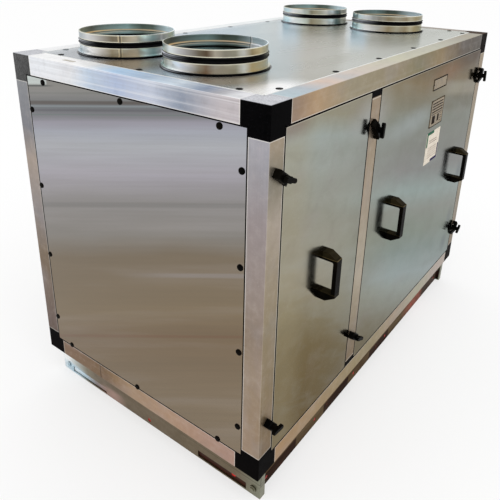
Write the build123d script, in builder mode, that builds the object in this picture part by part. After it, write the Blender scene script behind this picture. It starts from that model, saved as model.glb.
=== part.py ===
from build123d import *
import os
from math import cos, radians, sin

os.makedirs("parts", exist_ok=True)

# An air handling unit: a hollow casing of sandwich panels in a corner-jointed aluminium frame, on a
# galvanised base, with four duct spigots in its roof and two lift-off doors held by swivel clamps.
# X runs along the length, the doors face -Y and Z points up. The origin is on the floor, below the
# middle of the whole unit, so the casing stands back by half the reach of the handles.

# Casing
case_length = 1380.0
case_depth = 815.0
case_height = 925.0
frame_width = 50.0
frame_wall = 2.0
edge_radius = 2.0
lip_depth = 40.0
lip_wall = 3.0
lip_reach = 12.0

# Corner pieces and mullion
corner_arm = 20.0
plug_length = 30.0
plug_clearance = 0.3
mullion_from_left = 457.5
mullion_cap_height = 18.0

# Panels and doors
panel_gap = 2.0
door_gap = 2.5
skin_radius = 1.6

# Duct spigots
spigot_radius = 124.5
spigot_wall = 1.2
spigot_hole_clearance = 0.5
spigot_from_left = 220.0
spigot_from_right = 185.0
spigot_from_back = 195.5
spigot_row_pitch = 306.0
gasket_height = 5.2
gasket_clearance = 1.0
flange_reach = 5.5
lower_band = 20.3
groove_height = 14.0
groove_depth = 3.0
groove_slope = 1.0
upper_band = 17.5
hem_height = 4.0
seal_clearance = 0.1
seal_reach = 2.6

# Door handles
handle_height = 132.0
handle_width = 24.0
handle_reach = 40.0
handle_shoulder = 15.0
handle_grip_length = 102.0
handle_grip_thickness = 11.0
handle_leg = 22.0
handle_radius = 0.8
handle_inner_radius = 4.0
handle_below_middle = 5.5
handle_left_from_left = 252.0
handle_middle_from_mullion = 187.5
handle_right_from_right = 152.0

# Door clamps
clamp_gap = 0.3
clamp_from_ends = 150.0
clamp_post_inset = 38.0
arm_length = 54.0
arm_width = 20.0
arm_depth = 15.0
arm_heel_depth = 13.0
arm_heel_slope = 4.0
arm_nose_depth = 6.0
arm_nose_slope = 18.0
arm_foot = 9.0
arm_boss = 18.0
arm_arch = 4.0
arm_arch_slope = 3.0
arm_chamfer = 1.2
shank_radius = 4.0
shank_clearance = 0.1
shank_sink = 12.0
stem_radius = 7.5
stem_height = 6.0
bar_length = 40.0
bar_width = 10.5
bar_thickness = 8.0
bar_chamfer = 1.2
hub_rise = 5.5

# Base frame
base_height = 100.0
base_wall = 3.0
base_end_inset = 32.0
base_front_inset = 28.5
side_member_inset = 13.5
side_member_width = 20.0
side_step_height = 40.0
side_step = 2.0
cross_flange = 40.0
slot_length = 163.0
slot_from_end = 44.0
slot_rise = 4.0
slot_height = 21.0
side_hole_radius = 6.0
side_hole_rise = 14.0
web_hole_radius = 6.0
web_hole_rise = 20.0
web_hole_from_ends = 29.0
web_hole_count = 6

# Faces of the casing
case_left = -case_length / 2
case_right = case_length / 2
case_middle = handle_reach / 2
case_front = case_middle - case_depth / 2
case_back = case_middle + case_depth / 2
case_bottom = base_height
case_top = base_height + case_height
case_half_level = case_bottom + case_height / 2
corner_reach = frame_width + corner_arm
mullion_x = case_left + mullion_from_left
clamp_low = case_bottom + clamp_from_ends
clamp_high = case_top - clamp_from_ends


def finish(piece, name):
    """Label a finished piece and write it under its own name."""
    piece.part.label = name
    export_step(piece.part, f"parts/{name}.step")


def frame_section():
    """Draw the frame's hollow section: a square tube with its outer corner at the local origin and
    one panel lip on each inner side."""
    Rectangle(frame_width, frame_width, align=Align.MIN)
    with Locations((lip_depth, frame_width)):
        Rectangle(lip_wall, lip_reach, align=Align.MIN)
    with Locations((frame_width, lip_depth)):
        Rectangle(lip_reach, lip_wall, align=Align.MIN)
    with Locations((frame_wall, frame_wall)):
        inner = frame_width - 2 * frame_wall
        Rectangle(inner, inner, align=Align.MIN, mode=Mode.SUBTRACT)


# Frame members between the corner pieces, each from its outer corner line. Inward is the direction
# of local X, run the direction of the member, and local Y, run x inward, points into the casing too.
# The front posts have a hole in their front wall for each clamp's shank.
span_x = case_length - 2 * corner_reach
span_y = case_depth - 2 * corner_reach
span_z = case_height - 2 * corner_reach
near_x, far_x = case_left + corner_reach, case_right - corner_reach
near_y, far_y = case_front + corner_reach, case_back - corner_reach
low_z, high_z = case_bottom + corner_reach, case_top - corner_reach
shank_hole = shank_radius + shank_clearance
left_clamp_x = case_left + clamp_post_inset
right_clamp_x = case_right - clamp_post_inset
for name, origin, inward, run, span in (
    ("rail_top_front", (far_x, case_front, case_top), (0, 1, 0), (-1, 0, 0), span_x),
    ("rail_top_back", (near_x, case_back, case_top), (0, -1, 0), (1, 0, 0), span_x),
    ("rail_top_left", (case_left, near_y, case_top), (1, 0, 0), (0, 1, 0), span_y),
    ("rail_top_right", (case_right, far_y, case_top), (-1, 0, 0), (0, -1, 0), span_y),
    ("rail_bottom_front", (near_x, case_front, case_bottom), (0, 1, 0), (1, 0, 0), span_x),
    ("rail_bottom_back", (far_x, case_back, case_bottom), (0, -1, 0), (-1, 0, 0), span_x),
    ("rail_bottom_left", (case_left, far_y, case_bottom), (1, 0, 0), (0, -1, 0), span_y),
    ("rail_bottom_right", (case_right, near_y, case_bottom), (-1, 0, 0), (0, 1, 0), span_y),
    ("post_front_left", (case_left, case_front, low_z), (1, 0, 0), (0, 0, 1), span_z),
    ("post_front_right", (case_right, case_front, high_z), (-1, 0, 0), (0, 0, -1), span_z),
    ("post_back_left", (case_left, case_back, high_z), (1, 0, 0), (0, 0, -1), span_z),
    ("post_back_right", (case_right, case_back, low_z), (-1, 0, 0), (0, 0, 1), span_z),
):
    with BuildPart() as member:
        with BuildSketch(Plane(origin, x_dir=inward, z_dir=run)) as section:
            frame_section()
            fillet(section.vertices().sort_by_distance((0, 0, 0))[0], radius=edge_radius)
        extrude(amount=span)
        if name.startswith("post_front"):
            hole_x = left_clamp_x if name.endswith("left") else right_clamp_x
            with BuildSketch(Plane((0, case_front, 0), x_dir=(1, 0, 0), z_dir=(0, -1, 0))):
                with Locations((hole_x, clamp_low), (hole_x, clamp_high)):
                    Circle(shank_hole)
            extrude(amount=-frame_width / 2, mode=Mode.SUBTRACT)
    finish(member, name)

# Corner pieces: three arms on a cube, each with a plug inside the frame member that it holds. One is
# made at the front left corner and mirrored to the other three.
plug_inset = frame_wall + plug_clearance
plug_width = frame_width - 2 * plug_inset
for name, level, rise in (
    ("corner_pieces_top", case_top, -1),
    ("corner_pieces_bottom", case_bottom, 1),
):
    z_align = Align.MIN if rise > 0 else Align.MAX
    corner_align = (Align.MIN, Align.MIN, z_align)
    full = corner_reach + plug_length
    with BuildPart() as corner:
        with Locations((case_left, case_front, level)):
            Box(corner_reach, frame_width, frame_width, align=corner_align)
            Box(frame_width, corner_reach, frame_width, align=corner_align)
            Box(frame_width, frame_width, corner_reach, align=corner_align)
        outer_edges = [
            corner.edges().filter_by(Axis.X).group_by(Axis.Y)[0].sort_by(Axis.Z)[-1 if rise < 0 else 0],
            corner.edges().filter_by(Axis.Y).group_by(Axis.X)[0].sort_by(Axis.Z)[-1 if rise < 0 else 0],
            corner.edges().filter_by(Axis.Z).group_by(Axis.X)[0].sort_by(Axis.Y)[0],
        ]
        fillet(outer_edges, radius=edge_radius)
        with Locations((case_left, case_front + plug_inset, level + rise * plug_inset)):
            Box(full, plug_width, plug_width, align=corner_align)
        with Locations((case_left + plug_inset, case_front, level + rise * plug_inset)):
            Box(plug_width, full, plug_width, align=corner_align)
        with Locations((case_left + plug_inset, case_front + plug_inset, level)):
            Box(plug_width, plug_width, full, align=corner_align)
        mirror(about=Plane.YZ)
        mirror(about=Plane.XZ.offset(-case_middle))
    finish(corner, name)

# Mullion between the doors, with a panel lip on each side, and the caps that close its ends
mullion_foot = case_bottom + frame_width + mullion_cap_height
mullion_span = case_height - 2 * (frame_width + mullion_cap_height)
with BuildPart() as mullion:
    with BuildSketch(Plane((mullion_x, case_front, mullion_foot))):
        with Locations((0, lip_depth / 2)):
            Rectangle(frame_width, lip_depth)
        with Locations((0, lip_depth + lip_wall / 2)):
            Rectangle(frame_width + 2 * lip_reach, lip_wall)
        with Locations((0, lip_depth / 2)):
            Rectangle(frame_width - 2 * frame_wall, lip_depth - 2 * frame_wall, mode=Mode.SUBTRACT)
    extrude(amount=mullion_span)
    with BuildSketch(Plane((0, case_front, 0), x_dir=(1, 0, 0), z_dir=(0, -1, 0))):
        with Locations((mullion_x, clamp_low), (mullion_x, clamp_high)):
            Circle(shank_hole)
    extrude(amount=-lip_depth / 2, mode=Mode.SUBTRACT)
finish(mullion, "mullion")

with BuildPart() as mullion_caps:
    with BuildSketch(Plane((mullion_x, case_front, case_bottom + frame_width))):
        with Locations((0, lip_depth / 2)):
            Rectangle(frame_width, lip_depth)
    extrude(amount=mullion_cap_height)
    with BuildSketch(Plane((mullion_x, case_front, mullion_foot))):
        with Locations((0, lip_depth / 2)):
            Rectangle(plug_width, lip_depth - 2 * plug_inset)
    extrude(amount=plug_length)
    mirror(about=Plane.XY.offset(case_half_level))
finish(mullion_caps, "mullion_caps")


def panel(low, high, outward):
    """Give a sandwich panel between two corners, with the edges of its outer skin rounded."""
    size = [high[axis] - low[axis] for axis in range(3)]
    with BuildPart() as sheet:
        with Locations(low):
            Box(*size, align=Align.MIN)
        along = (Axis.X, Axis.Y, Axis.Z)[[abs(part) for part in outward].index(1)]
        skin = sheet.faces().sort_by(along)[-1 if sum(outward) > 0 else 0]
        fillet(skin.edges(), radius=skin_radius)
    return sheet


# Fixed panels lie against the frame's lips, flush with the frame
edge = frame_width + panel_gap
finish(
    panel(
        (case_left, case_front + edge, case_bottom + edge),
        (case_left + lip_depth, case_back - edge, case_top - edge),
        (-1, 0, 0),
    ),
    "panel_left",
)
finish(
    panel(
        (case_right - lip_depth, case_front + edge, case_bottom + edge),
        (case_right, case_back - edge, case_top - edge),
        (1, 0, 0),
    ),
    "panel_right",
)
finish(
    panel(
        (case_left + edge, case_back - lip_depth, case_bottom + edge),
        (case_right - edge, case_back, case_top - edge),
        (0, 1, 0),
    ),
    "panel_back",
)
finish(
    panel(
        (case_left + edge, case_front + edge, case_bottom),
        (case_right - edge, case_back - edge, case_bottom + lip_depth),
        (0, 0, -1),
    ),
    "panel_bottom",
)

# The roof panel has a hole for each spigot
spigot_places = [
    (x, case_back - spigot_from_back - rows_forward * spigot_row_pitch)
    for x in (case_left + spigot_from_left, case_right - spigot_from_right)
    for rows_forward in (1, 0)
]
spigot_names = ("spigot_left_front", "spigot_left_back", "spigot_right_front", "spigot_right_back")
roof = panel(
    (case_left + edge, case_front + edge, case_top - lip_depth),
    (case_right - edge, case_back - edge, case_top),
    (0, 0, 1),
)
with BuildPart() as panel_top:
    add(roof.part)
    with BuildSketch(Plane.XY.offset(case_top)):
        with Locations(*spigot_places):
            Circle(spigot_radius + spigot_hole_clearance)
    extrude(amount=-lip_depth, mode=Mode.SUBTRACT)
finish(panel_top, "panel_top")

# Doors lie against the lips of the frame and the mullion
door_edge = frame_width + door_gap
mullion_side = frame_width / 2 + door_gap
door_left = panel(
    (case_left + door_edge, case_front, case_bottom + door_edge),
    (mullion_x - mullion_side, case_front + lip_depth, case_top - door_edge),
    (0, -1, 0),
)
finish(door_left, "door_left")
door_right = panel(
    (mullion_x + mullion_side, case_front, case_bottom + door_edge),
    (case_right - door_edge, case_front + lip_depth, case_top - door_edge),
    (0, -1, 0),
)
finish(door_right, "door_right")

# Levels on a spigot, up from the roof
flange_level = gasket_height
band_level = flange_level + spigot_wall
groove_level = gasket_height + lower_band
upper_level = groove_level + groove_height
rim_level = upper_level + upper_band
spigot_inner = spigot_radius - spigot_wall
groove_radius = spigot_radius - groove_depth
slope_shift = spigot_wall / 2
flange_radius = spigot_radius + flange_reach
spigot_outline = [
    (spigot_radius, -lip_depth),
    (spigot_radius, flange_level),
    (flange_radius, flange_level),
    (flange_radius, band_level),
    (spigot_radius, band_level),
    (spigot_radius, groove_level),
    (groove_radius, groove_level + groove_slope),
    (groove_radius, upper_level - groove_slope),
    (spigot_radius, upper_level),
    (spigot_radius, rim_level),
    (spigot_inner - spigot_wall, rim_level),
    (spigot_inner - spigot_wall, rim_level - hem_height),
    (spigot_inner, rim_level - hem_height),
    (spigot_inner, upper_level + slope_shift),
    (groove_radius - spigot_wall, upper_level - groove_slope + slope_shift),
    (groove_radius - spigot_wall, groove_level + groove_slope - slope_shift),
    (spigot_inner, groove_level - slope_shift),
    (spigot_inner, -lip_depth),
]
for name, (x, y) in zip(spigot_names, spigot_places):
    with BuildPart() as spigot:
        with BuildSketch(Plane((x, y, case_top), x_dir=(1, 0, 0), z_dir=(0, -1, 0))):
            with BuildLine():
                Polyline(*spigot_outline, close=True)
            make_face()
        revolve(axis=Axis((x, y, case_top), (0, 0, 1)))
    finish(spigot, name)

# Double-lip rubber seals, each in the groove of its spigot
seal_foot = groove_radius + seal_clearance
seal_low = groove_level + groove_slope + seal_clearance
seal_high = upper_level - groove_slope - seal_clearance
seal_middle = (seal_low + seal_high) / 2
lip_tip = spigot_radius + seal_reach
lip_root = spigot_radius + seal_clearance
seal_outline = [
    (seal_foot, seal_low),
    (lip_root, seal_low),
    (lip_tip, seal_low + groove_height / 6),
    (lip_root, seal_middle - groove_height / 24),
    (lip_root, seal_middle + groove_height / 24),
    (lip_tip, seal_high - groove_height / 6),
    (lip_root, seal_high),
    (seal_foot, seal_high),
]
with BuildPart() as spigot_seals:
    for x, y in spigot_places:
        with BuildSketch(Plane((x, y, case_top), x_dir=(1, 0, 0), z_dir=(0, -1, 0))):
            with BuildLine():
                Polyline(*seal_outline, close=True)
            make_face()
        revolve(axis=Axis((x, y, case_top), (0, 0, 1)))
finish(spigot_seals, "spigot_seals")

# Flat gaskets between the roof and the flanges
with BuildPart() as spigot_gaskets:
    with BuildSketch(Plane.XY.offset(case_top)):
        with Locations(*spigot_places):
            Circle(flange_radius)
            Circle(spigot_radius + gasket_clearance, mode=Mode.SUBTRACT)
    extrude(amount=gasket_height)
finish(spigot_gaskets, "spigot_gaskets")

# Bridge handles: two legs and a grip cut from one outline, with chamfered shoulders
handle_outline = [
    (-handle_height / 2, 0),
    (-handle_height / 2, handle_shoulder),
    (-handle_grip_length / 2, handle_reach),
    (handle_grip_length / 2, handle_reach),
    (handle_height / 2, handle_shoulder),
    (handle_height / 2, 0),
]
handle_opening = handle_height - 2 * handle_leg
handle_clear = handle_reach - handle_grip_thickness
handle_level = case_half_level - handle_below_middle
for name, x in (
    ("handle_left", case_left + handle_left_from_left),
    ("handle_middle", mullion_x + handle_middle_from_mullion),
    ("handle_right", case_right - handle_right_from_right),
):
    place = (x, case_front, handle_level)
    with BuildPart() as handle:
        with BuildSketch(Plane(place, x_dir=(0, 0, 1), z_dir=(1, 0, 0))) as outline:
            with BuildLine():
                Polyline(*handle_outline, close=True)
            make_face()
            Rectangle(handle_opening, 2 * handle_clear, mode=Mode.SUBTRACT)
            inner = outline.vertices().filter_by_position(Axis.Y, handle_clear, handle_clear)
            fillet(inner, radius=handle_inner_radius)
        extrude(amount=handle_width / 2, both=True)
        sides = handle.faces().filter_by(Axis.X).edges().filter_by(Plane.XY, reverse=True)
        rounded = [side for side in sides if side.center().Y < case_front - handle_radius]
        fillet(rounded, radius=handle_radius)
    finish(handle, name)

# Swivel clamps. Each arm stands on a heel and a nose, which is lower and holds the door. An arm's
# angle points its nose, and like a knob's angle it is turned up from +X as seen from the front.
arm_outline = [
    (-arm_length / 2, 0),
    (-arm_length / 2, arm_heel_depth),
    (-arm_length / 2 + arm_heel_slope, arm_depth),
    (arm_length / 2 - arm_nose_slope, arm_depth),
    (arm_length / 2, arm_nose_depth),
    (arm_length / 2, 0),
    (arm_length / 2 - arm_foot, 0),
    (arm_length / 2 - arm_foot - arm_arch_slope, arm_arch),
    (arm_boss / 2, arm_arch),
    (arm_boss / 2, 0),
    (-arm_boss / 2, 0),
    (-arm_boss / 2, arm_arch),
    (-arm_length / 2 + arm_foot + arm_arch_slope, arm_arch),
    (-arm_length / 2 + arm_foot, 0),
]
for name, x, level, arm_angle, knob_angle in (
    ("clamp_left_top", left_clamp_x, clamp_high, -36, -21),
    ("clamp_left_bottom", left_clamp_x, clamp_low, -51, -7),
    ("clamp_middle_top", mullion_x, clamp_high, 125, 84),
    ("clamp_middle_bottom", mullion_x, clamp_low, -37, -25),
    ("clamp_right_top", right_clamp_x, clamp_high, 255, 100),
    ("clamp_right_bottom", right_clamp_x, clamp_low, 230, 35),
):
    seat = (x, case_front - clamp_gap, level)
    along = (cos(radians(arm_angle)), 0, sin(radians(arm_angle)))
    across = (sin(radians(arm_angle)), 0, -cos(radians(arm_angle)))
    with BuildPart() as arm:
        with BuildSketch(Plane(seat, x_dir=along, z_dir=across)):
            with BuildLine():
                Polyline(*arm_outline, close=True)
            make_face()
        extrude(amount=arm_width / 2, both=True)
        chamfer(arm.faces().sort_by(Axis.Y)[0].edges(), length=arm_chamfer)
        with BuildSketch(Plane(seat, x_dir=along, z_dir=(0, -1, 0))):
            Circle(shank_hole)
        extrude(amount=arm_depth, mode=Mode.SUBTRACT)
    finish(arm, name + "_arm")

    turn = (cos(radians(knob_angle)), 0, sin(radians(knob_angle)))
    crown = case_front - clamp_gap - arm_depth
    with BuildPart() as knob:
        bar_plane = Plane((x, crown - stem_height, seat[2]), x_dir=turn, z_dir=(0, -1, 0))
        with BuildSketch(bar_plane):
            SlotOverall(bar_length, bar_width)
        extrude(amount=bar_thickness)
        chamfer(knob.faces().sort_by(Axis.Y)[0].edges(), length=bar_chamfer)
        with BuildSketch(Plane((x, crown, seat[2]), x_dir=turn, z_dir=(0, -1, 0))):
            Circle(stem_radius)
        extrude(amount=stem_height + hub_rise)
        with BuildSketch(Plane((x, case_front + shank_sink, seat[2]), x_dir=turn, z_dir=(0, -1, 0))):
            Circle(shank_radius)
        extrude(amount=shank_sink + clamp_gap + arm_depth)
    finish(knob, name + "_knob")

# Side members of the base: channels with a stepped web, closed by a plate at each end
side_web_x = case_length / 2 - base_end_inset
side_front = case_front + side_member_inset
side_span = case_depth - 2 * side_member_inset
side_outline = [
    (side_member_width, 0),
    (0, 0),
    (0, side_step_height),
    (-side_step, side_step_height + side_step),
    (-side_step, base_height),
    (side_member_width, base_height),
    (side_member_width, base_height - base_wall),
    (base_wall - side_step, base_height - base_wall),
    (base_wall - side_step, side_step_height + 2 * side_step),
    (base_wall, side_step_height + side_step),
    (base_wall, base_wall),
    (side_member_width, base_wall),
]
for name, side in (("base_left", -1), ("base_right", 1)):
    with BuildPart() as member:
        outline = [(side * (side_web_x - inward), up) for inward, up in side_outline]
        with BuildSketch(Plane((0, side_front, 0), x_dir=(1, 0, 0), z_dir=(0, -1, 0))):
            with BuildLine():
                Polyline(*outline, close=True)
            make_face()
        extrude(amount=-side_span)
        plate_width = side_member_width - base_wall
        plate_x = side * (side_web_x - base_wall - plate_width / 2)
        plate_y = side_span / 2 - base_wall / 2
        with Locations((plate_x, case_middle - plate_y, 0), (plate_x, case_middle + plate_y, 0)):
            Box(plate_width, base_wall, base_height, align=(Align.CENTER, Align.CENTER, Align.MIN))
        slot_y = side_span / 2 - slot_from_end - slot_length / 2
        slot_z = slot_rise + slot_height / 2
        with BuildSketch(Plane((0, case_middle, 0), x_dir=(0, 1, 0), z_dir=(1, 0, 0))):
            with Locations((-slot_y, slot_z), (slot_y, slot_z)):
                Rectangle(slot_length, slot_height)
            with Locations((0, side_hole_rise)):
                Circle(side_hole_radius)
        extrude(amount=side * case_length / 2, mode=Mode.SUBTRACT)
    finish(member, name)

# Cross members of the base, between the side members, with a row of holes in the web
cross_span = 2 * (side_web_x - side_member_width)
cross_reach = case_depth / 2 - base_front_inset
web_hole_pitch = (cross_span - 2 * web_hole_from_ends) / (web_hole_count - 1)
cross_outline = [
    (cross_flange, 0),
    (0, 0),
    (0, base_height),
    (cross_flange, base_height),
    (cross_flange, base_height - base_wall),
    (base_wall, base_height - base_wall),
    (base_wall, base_wall),
    (cross_flange, base_wall),
]
for name, side in (("base_front", -1), ("base_back", 1)):
    with BuildPart() as member:
        outline = [(case_middle + side * (cross_reach - inward), up) for inward, up in cross_outline]
        with BuildSketch(Plane((-cross_span / 2, 0, 0), x_dir=(0, 1, 0), z_dir=(1, 0, 0))):
            with BuildLine():
                Polyline(*outline, close=True)
            make_face()
        extrude(amount=cross_span)
        with BuildSketch(Plane((0, case_middle, 0), x_dir=(1, 0, 0), z_dir=(0, -1, 0))):
            with Locations((0, web_hole_rise)):
                with GridLocations(web_hole_pitch, 0, web_hole_count, 1):
                    Circle(web_hole_radius)
        extrude(amount=-side * case_depth / 2, mode=Mode.SUBTRACT)
    finish(member, name)
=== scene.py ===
from math import cos, pi, radians, sin

import bmesh
import bpy
import numpy as np
from mathutils import Matrix, Vector


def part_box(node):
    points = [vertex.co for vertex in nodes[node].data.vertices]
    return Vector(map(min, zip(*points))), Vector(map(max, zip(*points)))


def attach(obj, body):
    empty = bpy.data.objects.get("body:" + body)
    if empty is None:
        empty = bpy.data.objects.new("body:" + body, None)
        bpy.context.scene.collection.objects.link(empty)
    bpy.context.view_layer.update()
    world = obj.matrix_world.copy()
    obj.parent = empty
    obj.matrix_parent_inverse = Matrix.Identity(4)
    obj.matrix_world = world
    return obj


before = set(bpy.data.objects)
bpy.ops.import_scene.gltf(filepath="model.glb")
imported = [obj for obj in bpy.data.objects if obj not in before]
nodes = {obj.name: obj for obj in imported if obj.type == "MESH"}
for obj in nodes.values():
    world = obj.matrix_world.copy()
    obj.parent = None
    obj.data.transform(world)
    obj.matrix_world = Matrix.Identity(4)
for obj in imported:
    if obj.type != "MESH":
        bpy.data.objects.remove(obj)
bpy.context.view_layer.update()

# The casing, in metres, as the frame gives it
corner_low, corner_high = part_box("corner_pieces_top")
CASE_LEFT, CASE_FRONT = corner_low.xy
CASE_RIGHT, CASE_BACK, CASE_TOP = corner_high
CASE_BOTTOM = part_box("corner_pieces_bottom")[0].z
CASE_MIDDLE = (CASE_FRONT + CASE_BACK) / 2
CORNER_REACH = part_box("rail_top_front")[0].x - CASE_LEFT
FRAME_WIDTH = 0.050
PANEL_GAP = 0.0020
DOOR_GAP = 0.0025

# The spigots: their bands down from the rim, and the angle of their near side in degrees
SPIGOTS = ("spigot_left_back", "spigot_left_front", "spigot_right_back", "spigot_right_front")
SPIGOT_RADIUS = 0.1245
RIM_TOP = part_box("spigot_left_front")[1].z
NEAR_SIDE = 216.4
GROOVE_HIGH = RIM_TOP - 0.0175
GROOVE_LOW = RIM_TOP - 0.0315
BAND_LOW = RIM_TOP - 0.0518

# Small fittings
CAP_RADIUS = 0.0078
CAP_SHOULDER = 0.0022
CAP_INSET = 0.062
SIDE_CAP_RISE = 0.0026
ROOF_CAP_RISE = 0.0015
PLATE_LIFT = 0.0009
MARK_LIFT = 0.00025
LABEL_LIFT = 0.0004
PRINT_LIFT = 0.0002
LAP_LIFT = 0.0007

# Fittings of the base, in from the casing's sides, in from a member's ends and up from the floor
BOLT_FACE = 0.030
BOLT_INSET = 0.022
BOLT_LEVEL = 0.021
PLUG_FACE = 0.032
PLUG_INSET = 0.029
SIDE_PLUG_LEVEL = 0.014
CROSS_PLUG_LEVEL = 0.020
BACKING_FACE = 0.0366
BACKING_INSET = 0.020
BACKING_LEVELS = (0.0035, 0.034)

# The surroundings
FLOOR_GREY = 251.6
FLOOR_REACH = 60.0
CAMERA_PLACE = (-1.4963, -0.9356, 1.2779)


def shade(red, green, blue):
    """A colour as light, from the red, green and blue that it has on a screen."""
    return tuple(((value / 255 + 0.055) / 1.055) ** 2.4 for value in (red, green, blue))


def is_output(value):
    """Whether a value is another node's output."""
    return isinstance(value, bpy.types.NodeSocket)


class Finish:
    """A procedural finish on the Principled shader, with short ways to add pattern nodes to it. Its
    colours are those on a screen, and each new one is laid over the tone so far."""

    def __init__(self, name, color, metallic, roughness, specular=0.5, edge=1.0):
        self.material = bpy.data.materials.new(name)
        self.material.use_nodes = True
        self.nodes = self.material.node_tree.nodes
        self.links = self.material.node_tree.links
        self.shader = self.nodes["Principled BSDF"]
        self.set(self.shader, "Base Color", (*shade(*color), 1))
        self.set(self.shader, "Metallic", metallic)
        self.set(self.shader, "Roughness", roughness)
        self.set(self.shader, "Specular IOR Level", specular)
        self.set(self.shader, "Specular Tint", (edge, edge, edge, 1))
        self.place = self.nodes.new("ShaderNodeTexCoord").outputs["Object"]
        self.tone = None

    def set(self, node, name, value):
        """A socket takes either a number or another node's output."""
        if is_output(value):
            self.links.new(value, node.inputs[name])
        else:
            node.inputs[name].default_value = value

    def node(self, kind, output, inputs, **options):
        """One of the outputs of a new node, with its options and its inputs set."""
        node = self.nodes.new("ShaderNode" + kind)
        for name, value in options.items():
            setattr(node, name, value)
        for name, value in inputs.items():
            self.set(node, name, value)
        return node.outputs[output]

    def stretched(self, x, y, z):
        """Object coordinates times a factor a side, so that a pattern is drawn out along the small ones."""
        return self.node("Mapping", "Vector", {"Vector": self.place, "Scale": (x, y, z)})

    def joined(self, x, y):
        """One vector from two values."""
        return self.node("CombineXYZ", "Vector", {"X": x, "Y": y})

    def noise(self, vector, scale, detail=3.0, roughness=0.5, distortion=0.0):
        """A cloudy pattern from 0 to 1."""
        inputs = {"Vector": vector, "Scale": scale, "Detail": detail}
        inputs.update({"Roughness": roughness, "Distortion": distortion})
        return self.node("TexNoise", "Fac", inputs)

    def cloud(self, scale, *shape):
        """The same pattern, drawn out by a scale a side."""
        return self.noise(self.stretched(*scale), 1.0, *shape)

    def cells(self, vector, scale):
        """A random grey a cell, as the grains of a zinc coat."""
        color = self.node("TexVoronoi", "Color", {"Vector": vector, "Scale": scale})
        return self.node("SeparateColor", "Red", {"Color": color})

    def ramp(self, factor, *stops):
        """Colours between stops, each of them a place and a colour, or a place and a grey of light."""
        node = self.nodes.new("ShaderNodeValToRGB")
        self.set(node, "Fac", factor)
        elements = node.color_ramp.elements
        while len(elements) < len(stops):
            elements.new(0.5)
        for element, (place, *color) in zip(elements, stops):
            element.position = place
            element.color = (*(shade(*color) if len(color) == 3 else color * 3), 1)
        return node.outputs["Color"]

    def tones(self, value, *stops):
        """Colours along a value, each stop being the value at which its colour holds."""
        low, high = stops[0][0], stops[-1][0]
        scaled = [((at - low) / (high - low), *color) for at, *color in stops]
        return self.ramp(self.span(value, low, high), *scaled)

    def span(self, value, low, high, new_low=0.0, new_high=1.0, smooth=False):
        """A value from one span carried to another, held at its ends."""
        inputs = {"Value": value, "From Min": low, "From Max": high, "To Min": new_low, "To Max": new_high}
        kind = "SMOOTHSTEP" if smooth else "LINEAR"
        return self.node("MapRange", "Result", inputs, interpolation_type=kind)

    def mix(self, factor, first, second):
        """Two colours mixed by a factor."""
        first, second = [side if is_output(side) else (*shade(*side), 1) for side in (first, second)]
        return self.node("Mix", 2, {0: factor, 6: first, 7: second}, data_type="RGBA")

    def lit(self, color, light):
        """A colour times a light."""
        light = light if is_output(light) else (light, light, light, 1)
        return self.node("Mix", 2, {0: 1.0, 6: color, 7: light}, data_type="RGBA", blend_type="MULTIPLY")

    def lay(self, factor, color, strength=1.0):
        """Lay a colour over the tone so far, by a factor times a strength."""
        if strength != 1.0:
            factor = self.times(factor, strength)
        self.tone = self.mix(factor, self.tone, color)

    def fleck(self, pattern, start, full, strength, color):
        """Lay a colour where a pattern passes a start, in full at a further value."""
        self.lay(self.span(pattern, start, full, 0.0, strength), color)

    def math(self, operation, *values):
        """What one sum gives for its values."""
        return self.node("Math", "Value", dict(enumerate(values)), operation=operation)

    def times(self, first, *others):
        """The product of several values."""
        for other in others:
            first = self.math("MULTIPLY", first, other)
        return first

    def plus(self, first, second):
        """The sum of two values."""
        return self.math("ADD", first, second)

    def most(self, first, *others):
        """The largest of several values."""
        for other in others:
            first = self.math("MAXIMUM", first, other)
        return first

    def sway(self, pattern, reach):
        """A pattern from 0 to 1 turned into a shift of up to half a reach either way."""
        return self.times(self.math("SUBTRACT", pattern, 0.5), reach)

    def along(self, axis):
        """The distance along one axis, from the object coordinates."""
        return self.node("SeparateXYZ", axis, {"Vector": self.place})

    def off(self, start):
        """The way from a start to each place."""
        return self.node("VectorMath", "Vector", {0: self.place, 1: start}, operation="SUBTRACT")

    def towards(self, direction, start):
        """The distance from a start along any direction."""
        return self.node("VectorMath", "Value", {0: self.off(start), 1: direction}, operation="DOT_PRODUCT")

    def fan(self, run, rise, start):
        """The slope of the line from a start to each place, by which streaks that fan out are told apart."""
        shifted = [self.math("SUBTRACT", self.along(axis), at) for axis, at in zip((run, rise), start)]
        return self.math("DIVIDE", shifted[1], shifted[0])

    def from_axis(self, centre):
        """The distance from an upright axis."""
        squares = [self.math("POWER", self.towards(side, centre), 2.0) for side in ((1, 0, 0), (0, 1, 0))]
        return self.math("SQRT", self.plus(*squares))

    def glow(self, point, reach):
        """One at a point, falling smoothly to nothing at a reach a side."""
        scaled = self.node("VectorMath", "Vector", {0: self.off(point), 1: reach}, operation="DIVIDE")
        far = self.node("VectorMath", "Value", {0: scaled}, operation="LENGTH")
        return self.span(far, 0.0, 1.0, 1.0, 0.0, smooth=True)

    def face(self, axis, level, inward):
        """One on the outer face at a level, nothing 1.5 mm further in."""
        return self.span(self.along(axis), level, level + inward * 0.0015, 1.0, 0.0)

    def line(self, value, at, half_width):
        """One where a value is at a place, nothing half a width either side of it."""
        off = self.math("ABSOLUTE", self.math("SUBTRACT", value, at))
        return self.span(off, half_width * 0.4, half_width, 1.0, 0.0)

    def bump(self, height, distance, onto=None):
        """Bumps as high as the distance where the height is 1, on top of earlier ones if there are any."""
        inputs = {"Height": height, "Distance": distance}
        if onto is not None:
            inputs["Normal"] = onto
        return self.node("Bump", "Normal", inputs)

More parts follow.
